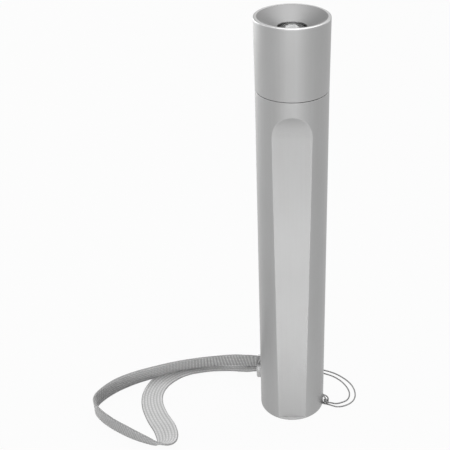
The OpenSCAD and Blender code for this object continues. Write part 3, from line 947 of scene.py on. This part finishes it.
@dataclass
class Barrel:
    """The battery tube with its long ground flat, its skirt and the lanyard eye.

    Attributes:
        stations: heights of the outside's rows, as from, to and how many.
        columns: how many cross the flat, and how many go round the rest.
        crowding: how strongly the columns gather at the flat's edges.
        inner_fade: heights between which the inside's columns leave the flat's spread.
        end_rows: heights past which they follow it all the way.
    """

    radius: float = 17.5
    top: float = 189.25
    spigot_radius: float = 14.45
    spigot_z: float = 182.5
    bore_radius: float = 13.25
    plug_radius: float = 13.4
    plug_top: float = 21.0
    skirt_radius: float = 14.6
    skirt_top: float = 9.0
    tail_lip: float = 0.7
    flat_top: float = 170.0
    flat_depths: tuple[float, float] = (1.55, 2.8)
    runout_radius: float = 27.0
    edge_softness: float = 0.07
    stations: tuple[Point, ...] = ((0.32, 0.67, 4), (0.701, 0.75, 2), (1.2, 170, 60),
                                   (170, 183.5, 100), (184, 188.9, 8))
    ledge_y: float = -15.9
    columns: tuple[int, int] = (64, 150)
    crowding: float = 0.8
    least_half: float = 0.03
    inner_fade: tuple[float, float] = (23.0, 183.0)
    end_rows: tuple[float, float] = (0.5, 185.0)
    eye_z: float = 6.0
    eye_radius: float = 1.3
    notch: float = 2.0
    notch_fillet: float = 0.5

    def flat_distance(self, z: Array) -> Array:
        """Distance of the flat from the axis: a slight taper, then a round run-out upward."""
        low, high = self.flat_depths
        rise = np.clip(z / self.flat_top, 0, 1)
        over = np.clip(z - self.flat_top, 0, self.runout_radius)
        lift = self.runout_radius - np.sqrt(self.runout_radius ** 2 - over ** 2)
        plane = self.radius - (low + (high - low) * rise) + lift
        return np.where(z < self.tail_lip, self.radius * 1.2, plane)

    def rows(self) -> tuple[Array, Array, Array]:
        """The stations up the outside, each from, to and how many, and those down the inside.

        Returns:
            Radius, height and whether it is outside, for each row.
        """
        tall = np.unique(np.round(np.concatenate([
            np.linspace(low, high, count) for low, high, count in self.stations]), 4))
        inner = rounded_profile([
            (self.radius, self.top, 0.22), (self.spigot_radius, self.top, 0.12),
            (self.spigot_radius, self.spigot_z, 0.02), (self.bore_radius, self.spigot_z, 0.1),
            (self.bore_radius, self.plug_top, 0.0), (self.plug_radius, self.plug_top, 0.0),
            (self.plug_radius, self.skirt_top, 0.1), (self.skirt_radius, self.skirt_top, 0.1),
            (self.skirt_radius, 0.0, 0.2), (self.radius, 0.0, 0.3)])
        bore = np.linspace(self.spigot_z - 0.2, self.plug_top + 0.1, 30)[:, None]
        split = int(np.argmax((np.abs(inner[:, 0] - self.bore_radius) < 0.01)
                              & (inner[:, 1] <= self.plug_top + 0.01)))
        rows = np.vstack([np.insert(tall[:, None], 0, self.radius, axis=1), inner[:split],
                          np.insert(bore, 0, self.bore_radius, axis=1), inner[split:]])
        return rows[:, :1], rows[:, 1:], np.arange(len(rows))[:, None] < len(tall)

    def turns(self, z: Array, outside: Array) -> Array:
        """Each column's angle at each row; the columns crowd towards the flat's two edges.

        Args:
            z: each row's height.
            outside: whether the row is outside.

        Returns:
            Angles from the flat's middle, rows by columns.
        """
        least, (foot, head), (first, last) = self.least_half, self.inner_fade, self.end_rows
        flat = self.flat_distance(np.clip(z, self.tail_lip + 0.01, None))
        half = np.arccos(np.clip(flat / self.radius, 0, 1)).clip(least, None)
        low_half = np.arccos(self.flat_distance(np.array([1.0])) / self.radius)
        inner_half = least + (low_half - least) * np.clip((head - z) / (head - foot), 0, 1)
        half = np.where(outside | (z < first) | (z > last), half, inner_half)
        on_flat, off_flat = self.columns
        u = (1 - np.cos(np.pi * np.arange(on_flat) / on_flat)) / 2
        v = np.arange(off_flat) / off_flat
        v = v - self.crowding * np.sin(TURN * v) / TURN
        return np.concatenate([-half + 2 * half * u, half + (TURN - 2 * half) * v], axis=1)

    def build(self, finishes: Sequence[Material]) -> None:
        """Turns the tube, presses the flat in, and cuts the eye and its notch.

        At each height the radius is the smooth lesser of the cylinder's and the flat's, which
        is the flat's distance over the cosine of the angle from its middle.

        Args:
            finishes: outside, inside and ledge materials; the ledge's is painted lighter, as
                painted light.
        """
        radius, z, outside = self.rows()
        turn = self.turns(z, outside)
        lean = np.cos(turn)
        flat = np.where(outside, self.flat_distance(z), self.radius * 1.2)
        reach = np.where(lean > 0.2, flat / np.maximum(lean, 0.2), self.radius * 3)
        pressed = 0.5 * (radius + reach - np.hypot(radius - reach, self.edge_softness))
        r = np.where(outside & (reach < radius + 1.5), pressed, radius)
        points = np.stack([r * np.sin(turn), -r * np.cos(turn), z + 0 * turn], axis=-1)
        crease = nearness((radius - reach) * outside, 0, 0.25) * (reach < 30)
        rim = np.maximum(nearness(z, 0.2, 0.5), nearness(z, self.top, 0.5))
        surface = grid(points, loop_rows=True).mark(
            edge=np.where(outside, np.maximum(crease, rim), 0), tool=z + radius + 0 * turn)

        def zone(centres: Array) -> Array:
            """Zero outside, one on the walls within, and two on the lip's ledge, whose finish is
            painted lighter.
            """
            level = np.abs(centres[:, 2] - self.tail_lip) < 0.03
            ledge = level & (centres[:, 1] < self.ledge_y)
            return np.where(ledge, 2, radii(centres) < self.skirt_radius - 0.05)

        piece = make_piece("barrel", surface, "barrel", finishes,
                           ["barrel_tube"], zone)
        cut(piece, self.eye_cutters())

    def eye_cutters(self) -> list[Surface]:
        """The drill for the lanyard eye, and the round-topped notch under it."""
        near, far = 10.0, 22.0
        drill = rod(*at_eye([(near, 0, self.eye_z), (far, 0, self.eye_z)]), self.eye_radius)
        w, fillet = self.eye_radius, self.notch_fillet
        right = arc((w - fillet, self.notch - fillet), (fillet, fillet),
                    np.linspace(0, np.pi / 2, 8))
        outline = np.vstack([[[-w, -1.0], [w, -1.0]], right, right[::-1] * [-1, 1]])
        rings = [at_eye(np.insert(outline, 0, reach, axis=1)) for reach in (near, far)]
        return [drill, capped(np.stack(rings))]


@dataclass
class SealRing:
    """An O-ring: a small circle turned round the axis."""

    name: str
    node: str
    body: str
    middle_radius: float
    half: float
    z: float

    def build(self, rubber: Material) -> None:
        """Turns the ring in rubber."""
        ring = arc((self.middle_radius, self.z), (self.half, self.half), around(24))
        make_piece(self.name, lathe(ring), self.body, [rubber], [self.node])


@dataclass
class TailEnd:
    """The screw-in plug with its spanner holes, and the push button."""

    radius: float = 13.3
    foot: float = 9.0
    top: float = 21.0
    bore: float = 5.1
    groove_radius: float = 12.4
    groove: tuple[float, float] = (10.2, 11.8)
    web_top: float = 12.0
    pocket_radius: float = 9.1
    seat_radius: float = 10.5
    seat_z: float = 18.6
    spanner_radius: float = 0.9
    spanner_reach: float = 9.15
    button_radius: float = 5.0
    button_foot: float = 6.5
    button_groove: tuple[float, float] = (9.7, 11.0)
    button_groove_radius: float = 4.25
    flange_radius: float = 6.1
    flange: tuple[float, float] = (12.0, 13.0)
    dish_radius: float = 3.4

    def build(self, plug: Material, button: Material, rubber: Material) -> None:
        """Builds the plug, the button and their O-rings.

        Args:
            plug: the plug's material.
            button: the button's.
            rubber: the O-rings'.
        """
        r, groove, (low, high) = self.radius, self.groove_radius, self.groove
        body = rounded_profile([
            (self.bore, self.foot, 0.25), (r, self.foot, 0.3), (r, low, 0.08),
            (groove, low, 0.05), (groove, high, 0.05), (r, high, 0.08), (r, self.top, 0.3),
            (self.seat_radius, self.top, 0.1), (self.seat_radius, self.seat_z, 0.03),
            (self.pocket_radius, self.seat_z, 0.05), (self.pocket_radius, self.web_top, 0.2),
            (self.bore, self.web_top, 0.1)])
        piece = make_piece("plug", lathe(body, 160).turned(), "plug", [plug],
                           ["tail_plug"])
        cut(piece, [rod((0, y, self.foot - 2), (0, y, self.foot + 1.5), self.spanner_radius, 32)
                    for y in (self.spanner_reach, -self.spanner_reach)])
        b, f, wide = self.button_radius, self.button_foot, self.flange_radius
        groove, (low, high), (foot, top) = (self.button_groove_radius, self.button_groove,
                                            self.flange)
        cap = rounded_profile([
            (0, f + 0.5, 0), (self.dish_radius, f, 0.9), (b, f, 0.55), (b, low, 0.08),
            (groove, low, 0.04), (groove, high, 0.04), (b, high, 0.05), (b, foot, 0.05),
            (wide, foot, 0.1), (wide, top, 0.1), (0, top, 0)], loop=False)
        make_piece("button", lathe(cap, loop=False).turned(), "button",
                   [button], ["switch_button"])
        SealRing("plug_seal_ring", "plug_oring", "plug_seal", 12.9, 0.4, 11.0).build(rubber)
        SealRing("button_seal_ring", "button_oring", "button", 4.675, 0.375,
                 10.35).build(rubber)


# ---------------------------------------------------------------- neck, head and lamp


@dataclass
class Neck:
    """The sleeve in the barrel's mouth that the head slides on."""

    foot: float = 182.5
    bore: float = 12.9
    radius: float = 14.4
    flange_z: float = 200.5
    flange_radius: float = 15.05
    groove_radius: float = 14.05
    groove_half: float = 0.8
    roof: float = 201.9
    top: float = 203.5
    lamp_radius: float = 10.5

    def build(self, metal: Material, rubber: Material) -> None:
        """Builds the sleeve and its sliding seal.

        Args:
            metal: the sleeve's material.
            rubber: the seal's.
        """
        middle = (self.flange_z + self.top) / 2
        low, high = middle - self.groove_half, middle + self.groove_half
        profile = rounded_profile([
            (self.bore, self.foot, 0.2), (self.radius, self.foot, 0.3),
            (self.radius, self.flange_z, 0.05), (self.flange_radius, self.flange_z, 0.15),
            (self.flange_radius, low, 0.05), (self.groove_radius, low, 0.05),
            (self.groove_radius, high, 0.05), (self.flange_radius, high, 0.05),
            (self.flange_radius, self.top, 0.3), (self.lamp_radius, self.top, 0.2),
            (self.lamp_radius, self.roof, 0.0), (self.bore, self.roof, 0.0)])
        make_piece("neck", lathe(profile, 160).turned(), "barrel", [metal],
                   ["lamp_neck"])
        SealRing("neck_seal_ring", "neck_oring", "barrel", 14.6, 0.5, middle).build(rubber)


@dataclass
class Head:
    """The focusing head: a slightly tapered sleeve with a shallow funnel at its front."""

    foot: float = 189.5
    top: float = 224.4
    foot_radius: float = 17.5
    rim_radius: float = 17.8
    chamfer: float = 0.6
    funnel_radius: float = 15.8
    funnel_foot: float = 219.3
    aperture: float = 6.85
    seat_z: float = 218.4
    seat_radius: float = 12.0
    seat_foot: float = 211.8
    bore_top: float = 210.6
    bore: float = 15.15
    lip_radius: float = 14.5
    lip_top: float = 192.5

    def build(self, finishes: Sequence[Material]) -> None:
        """Turns the sleeve and dresses its four zones.

        The rim is crowned: half an ellipse, as high as the chamfer and as wide as the rim.

        Args:
            finishes: outside, rim, funnel and inside materials; the funnel's is painted darker,
                as painted shade.
        """
        shoulder = self.top - self.chamfer
        half = (self.rim_radius - self.funnel_radius) / 2
        crown = np.insert(arc((self.rim_radius - half, shoulder), (half, self.chamfer),
                              np.linspace(0.12, np.pi - 0.3, 16)), 2, 0, axis=1)
        profile = rounded_profile([
            (self.lip_radius, self.foot, 0.1), (self.foot_radius, self.foot, 0.25),
            (self.rim_radius - 0.01, self.top - 1.6, 0), (self.rim_radius, self.top - 0.9, 0),
            *crown, (self.aperture, self.funnel_foot, 0.12), (self.aperture, self.seat_z, 0.08),
            (self.seat_radius, self.seat_z, 0.05), (self.seat_radius, self.seat_foot, 0.1),
            (self.bore, self.bore_top, 0.2), (self.bore, self.lip_top, 0.05),
            (self.lip_radius, self.lip_top, 0.1)])
        surface = lathe(profile, 288)
        far, z = radii(surface.points), surface.points[:, 2]
        ends = np.maximum(nearness(z, self.foot, 0.6), nearness(z, self.top - 0.3, 0.5))
        brink = nearness(far, self.aperture, 0.35) * (z > self.seat_z + 0.3)
        surface.mark(edge=np.where(far > 16.5, ends, brink), tool=far + z)

        def zone(centres: Array) -> Array:
            """Zero outside, one on the rim, two in the funnel, three within."""
            r, z = radii(centres), centres[:, 2]
            slope = (self.funnel_radius - self.aperture) / (self.top - 0.35 - self.funnel_foot)
            cone = self.aperture + (z - self.funnel_foot) * slope
            kind = np.full(len(r), 3)
            kind[(z >= self.funnel_foot - 0.12) & (r <= cone + 0.4)] = 2
            kind[(z > shoulder - 0.02) & (r > self.funnel_radius + 0.45)] = 1
            kind[(r > 16.4) & (z <= shoulder - 0.02)] = 0
            return kind

        make_piece("head", surface, "head", finishes, ["head_shell"], zone)


@dataclass
class LensUnit:
    """The collimator lens with its gasket and the ring that holds it."""

    radius: float = 11.0
    top: float = 217.8
    flange: float = 2.0
    cone: float = 6.5
    shoulder: float = 2.2
    pocket_radius: float = 2.6
    pocket_depth: float = 2.2
    pocket_dome: float = 0.8
    crown_radius: float = 6.5
    crown_foot: float = 218.4
    crown_top: float = 220.2
    painted_shade_band: float = 0.6
    gasket_gap: float = 0.55
    ring_radii: tuple[float, float] = (9.2, 11.95)
    ring_height: float = 3.0

    def build(self, lens: Sequence[Material], rubber: Material, ring: Material) -> None:
        """Builds the lens and the two rings.

        The crown is the cap of a sphere whose radius is half of its rise plus half the square
        of its half-width over that rise.

        Args:
            lens: the lens's clear body, its silvering and the black finish of the crown's edge,
                which is painted shade.
            rubber: the gasket's material.
            ring: the retaining ring's.
        """
        rise = self.crown_top - self.crown_foot
        ball = (self.crown_radius ** 2 + rise ** 2) / (2 * rise)
        crown = arc((0, self.crown_top - ball), (ball, ball),
                    np.linspace(math.acos(self.crown_radius / ball), np.pi / 2, 24))
        low, pocket = self.top - self.flange, self.pocket_radius
        foot = low - self.cone
        deep = foot + self.pocket_depth
        hollow = arc((0, deep), (pocket, self.pocket_dome), np.linspace(np.pi / 2, 0, 10))
        lower = rounded_profile([
            (pocket, deep, 0), (pocket + 0.2, foot, 0.1), (pocket + 1.2, foot, 0.1),
            (self.radius - self.shoulder, low, 0.1), (self.radius, low, 0.15),
            (self.radius, self.top, 0.15), (self.crown_radius, self.top, 0.05),
            (self.crown_radius, self.crown_foot, 0.0)], loop=False)
        profile = np.vstack([hollow[:-1], lower, crown[1:]])

        def zone(centres: Array) -> Array:
            """One on the cone's sloping outer wall, two on the crown's edge band, which is
            painted black as shade.
            """
            far, z = radii(centres), centres[:, 2]
            wall = (z < low - 0.05) & (far > pocket + 1.25)
            # A band round the crown's edge gets the black rubber finish: painted shade.
            edge = (z > self.top) & (far > self.crown_radius - self.painted_shade_band)
            return wall.astype(int) + 2 * edge

        make_piece("lens_moulding", lathe(profile, 160, loop=False), "head",
                   lens, ["lens"], zone, sharp_angle=40)
        inner = self.crown_radius + self.gasket_gap
        gasket = rounded_profile([(inner, self.top, 0.15), (self.radius, self.top, 0.15),
                                  (self.radius, self.crown_foot, 0.15),
                                  (inner, self.crown_foot, 0.15)])
        make_piece("gasket", lathe(gasket), "head", [rubber], ["lens_gasket"])
        (inner, outer), seat = self.ring_radii, low - self.ring_height
        hold = rounded_profile([(inner, seat, 0.2), (outer, seat, 0.2), (outer, low, 0.1),
                                (inner, low, 0.1)])
        make_piece("lens_ring", lathe(hold).turned(), "head", [ring],
                   ["lens_retaining_ring"])


@dataclass
class ContactSpring:
    """A conical coil of round wire, wound evenly from end to end."""

    name: str
    node: str
    body: str
    foot: float
    foot_radius: float
    top_radius: float
    height: float
    turns: int
    sign: int = 1
    wire: float = 0.9

    def build(self, finish: Material) -> None:
        """Winds the wire: the angle grows evenly while the radius and height change with it.

        Args:
            finish: the wire's material.
        """
        u = np.linspace(0, 1, self.turns * 40 + 1)
        radius = self.foot_radius + (self.top_radius - self.foot_radius) * u
        turn = TURN * self.turns * u
        lift = 0.05 + self.wire / 2 + (self.height - self.wire - 0.1) * u
        line = np.stack([radius * np.cos(turn), self.sign * radius * np.sin(turn),
                         self.foot + self.sign * lift], axis=-1)
        make_piece(self.name, tube(line, self.wire / 2, 14), self.body,
                   [finish], [self.node], sharp_angle=60)


# ---------------------------------------------------------------- studio


@dataclass
class Softbox:
    """A rectangular area light; places and sizes are in metres, power in watts."""

    name: str
    place: Point
    aim: Point
    size: tuple[float, float]
    power: float
    spread: float = math.pi

    def hang(self) -> None:
        """Hangs the light so that it faces its aim."""
        data = bpy.data.lights.new(self.name, "AREA")
        data.shape, data.energy, data.spread = "RECTANGLE", self.power, self.spread
        data.size, data.size_y = self.size
        light = show(self.name, data)
        x, y, z = unit(np.array(self.aim) - np.array(self.place))
        light.location = self.place
        light.rotation_euler = (math.acos(-z), 0, math.atan2(x, -y) + math.pi)


@dataclass
class Studio:
    """The white sweep, soft lights and the camera that stands where the photographer's did."""

    camera_y: float = -0.4233
    camera_z: float = 0.3675
    pitch_deg: float = 59.17
    lens_mm: float = 77.86
    shift_x: float = -0.1492
    room_light: float = 0.2
    room_seen: float = 0.97
    floor_half: float = 40.0
    floor_z: float = -0.0001
    floor_tone: float = 0.38
    floor_glow: float = 0.95

    def camera(self) -> None:
        """Places the camera."""
        data = bpy.data.cameras.new("camera")
        data.lens, data.sensor_width, data.shift_x = self.lens_mm, 36.0, self.shift_x
        data.clip_start, data.clip_end = 0.01, 50
        camera = show("camera", data)
        camera.location = (0, self.camera_y, self.camera_z)
        camera.rotation_euler = (math.radians(self.pitch_deg), 0, 0)
        bpy.context.scene.camera = camera

    @staticmethod
    def seen_directly(g: Graph) -> Socket:
        """One for camera, glossy and transmission rays, and nought for the rest."""
        rays = g.add("LightPath").outputs
        first = g.math("MAXIMUM", rays["Is Camera Ray"], rays["Is Glossy Ray"])
        return g.math("MAXIMUM", first, rays["Is Transmission Ray"])

    def world(self) -> None:
        """A dim grey room that is white to the camera and in the metal and the glass."""
        world = bpy.data.worlds.new("surround")
        bpy.context.scene.world = world
        g = Graph(world)
        room = g.add("Background", Color=WHITE, Strength=self.room_light)
        white = g.add("Background", Color=WHITE, Strength=self.room_seen)
        g.finish("OutputWorld", g.either(self.seen_directly(g), room, white))

    def floor(self) -> None:
        """A wide pale floor, a hair under the part, that keeps a faint shadow.

        Most of what the camera sees of it is a plain glow, as the paper in the photograph
        is burnt out. From below it is clear, so the tail can be looked at.
        """
        corners = np.array([[-1, -1, 0], [1, -1, 0], [1, 1, 0], [-1, 1, 0]]) * self.floor_half
        mesh = bpy.data.meshes.new("floor")
        mesh.from_pydata((corners + UP * self.floor_z).tolist(), [], [(0, 1, 2, 3)])
        g = Graph(bpy.data.materials.new("floor_paper"))
        paper = g.add("BsdfDiffuse", Color=grey(self.floor_tone))
        glow = g.math("MULTIPLY", self.seen_directly(g), self.floor_glow)
        top = g.either(glow, paper, g.add("Emission", Strength=1.0))
        below = g.add("NewGeometry").outputs["Backfacing"]
        g.finish("OutputMaterial", g.either(below, top, g.add("BsdfTransparent")))
        mesh.materials.append(g.owner)
        floor = show("floor", mesh)

    def lights(self) -> None:
        """Hangs the lights.

        One far, low softbox stands in front, with two narrow dim ones near the floor under
        it: they fill the ground flat, which tilts away from everything else. Large soft
        panels above, behind and at the left do the rest.
        """
        middle, foot, neck = (0, 0, 0.11), (0, 0, 0), (0, 0, 0.15)
        for light in (
                Softbox("front_softbox", (0.1, -3, 0.35), middle, (3.4, 0.6), 36),
                Softbox("low_softbox", (0, -0.15, 0.014), (0, 0, 0.01), (0.2, 0.02), 0.017, 1.1),
                Softbox("floor_softbox", (0, -0.17, 0.01), (0, 0, 0.12), (0.3, 0.03), 0.0185,
                        1.3),
                Softbox("rim_softbox", (-0.1, -0.45, 1.5), neck, (1.8, 0.6), 9),
                Softbox("top_panel", (0.35, 0.2, 1.8), foot, (1.8, 2), 26),
                Softbox("left_top_panel", (-1.3, 0.35, 1.15), neck, (1, 1), 4.5),
                Softbox("back_panel", (1.8, 1.3, 0.85), (0, 0, 0.2), (1.4, 1), 4.5),
                Softbox("back_top_panel", (0.1, 1.2, 1.1), foot, (1.2, 0.7), 2),
                Softbox("left_panel", (-1, 0.85, 0.14), middle, (0.9, 0.25), 8.5)):
            light.hang()

    def build(self) -> None:
        """Sets up everything round the object."""
        bpy.context.scene.view_settings.view_transform = "Standard"
        self.camera()
        self.world()
        self.floor()
        self.lights()


def main() -> None:
    """Builds the studio, the cords and then the flashlight, from the tail to the lens."""
    Studio().build()

    rubber = MouldedPlastic("seal_rubber", (0.03, 0.03, 0.03), 0.55, 0.3, 0.006).make()
    turned = TurnedMetal("turned_aluminium", 0.5).make()

    block = StrapBlock().build(
        MouldedPlastic("block_plastic", (0.56, 0.56, 0.56), 0.36, 0.3, 0.006, 0.15).make())
    WristStrap().build(Webbing("grey_webbing").make())
    LanyardCord().build(BraidedCord("cord_braid").make(), block)

    Barrel().build([BlastedMetal("blasted_barrel").make(), turned,
                    # The lip's ledge takes a lighter, duller copy of the barrel's metal: painted
                    # light.
                    BlastedMetal("lip_ledge_painted_light", 0.5, 0.8, wear=Wear.NONE).make()])
    TailEnd().build(TurnedMetal("turned_plug", 0.46, pitch_mm=0.2).make(),
                    TurnedMetal("turned_button", 0.42, pitch_mm=0.25).make(), rubber)
    Neck().build(TurnedMetal("turned_neck", 0.36, 0.3).make(), rubber)
    Head().build([BlastedMetal("blasted_head").make(),
                  BlastedMetal("bright_cut_rim", 0.355, 0.32, 0.3).make(),
                  # The funnel takes a darker copy of the head's blasted metal: painted shade.
                  BlastedMetal("funnel_painted_shade", 0.2, 0.55, 0.14).make(), turned])
    LensUnit().build([ClearMoulding("clear_acrylic").make(),
                      DrawnMetal("silvered_cone", (0.9, 0.9, 0.9), 0.04).make(), rubber],
                     rubber, TurnedMetal("turned_ring", 0.3).make())

    wire = DrawnMetal("gilt_wire", (0.72, 0.6, 0.34), 0.24).make()
    ContactSpring("tail_coil", "tail_spring", "plug", 20.2, 7, 4, 4.3, 3).build(wire)
    ContactSpring("front_coil", "front_spring", "barrel", 184, 6, 2.6, 9.5, 5, -1).build(wire)

    dress(CellJacket("cell_sleeve"), "cell_rear", "cell_middle", "cell_front")
    dress(DrawnMetal("brass_pill", (0.62, 0.46, 0.2), 0.32), "heat_sink",
          "lamp_retaining_ring")
    dress(CircuitBoard("driver_mask"), "driver_board", "switch_board")
    dress(MouldedPlastic("component_plastic", (0.045, 0.045, 0.05), 0.5), "driver_parts",
          "switch_housing")
    dress(MouldedPlastic("star_white_mask", (0.78, 0.78, 0.76), 0.35), "star_board")
    dress(DrawnMetal("screw_steel", (0.5, 0.5, 0.5), 0.28), "star_screws")
    dress(DrawnMetal("ring_aluminium", (0.5, 0.5, 0.5), 0.35), "plug_retaining_ring")
    dress(MouldedPlastic("plunger_nylon", (0.72, 0.72, 0.7), 0.4), "switch_plunger")
    dress(Phosphor("led_phosphor"), "led_package")
    dress(ClearMoulding("led_silicone", (0.98, 0.97, 0.9), 0.03, 1.41), "led_dome")


if __name__ == "__main__":
    logging.basicConfig(level=logging.INFO, format="%(name)s %(message)s")
    main()
